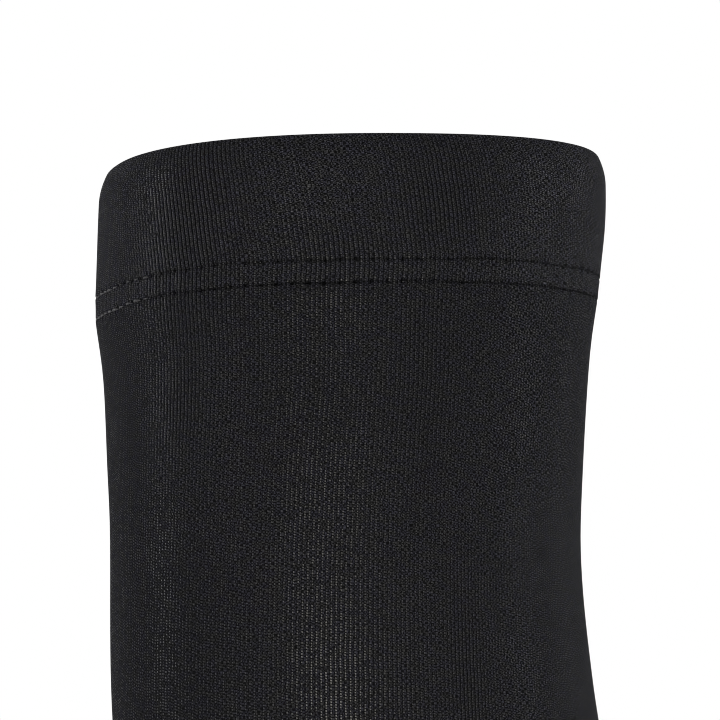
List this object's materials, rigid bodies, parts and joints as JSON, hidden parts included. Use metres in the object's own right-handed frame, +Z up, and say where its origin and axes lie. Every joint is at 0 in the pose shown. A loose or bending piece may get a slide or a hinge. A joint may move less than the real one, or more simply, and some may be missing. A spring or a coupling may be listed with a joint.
{
  "type": "arm sleeve",
  "caption": "Knitted compression arm sleeve in its worn shape: a tapering elastic tube, slightly bent at the elbow, with a turned and double-stitched hem at each end.",
  "frame": {"origin": "on the arm's axis at the upper opening, level with the middle of its fold", "axes": "+Z up along the upper arm and out of the upper opening, +X to the side towards which the elbow bends, Y across the arm"},
  "size_m": [0.1593, 0.089, 0.399],
  "materials": {
    "body_knit": "matt black elastic jersey with fine upright ribs of loops",
    "hem_knit": "the same jersey, doubled, with two rows of matt black stitching"
  },
  "bodies": {
    "root": {"upper_hem": "hem_knit", "sleeve_body": "body_knit", "wrist_hem": "hem_knit"}
  },
  "joints": []
}
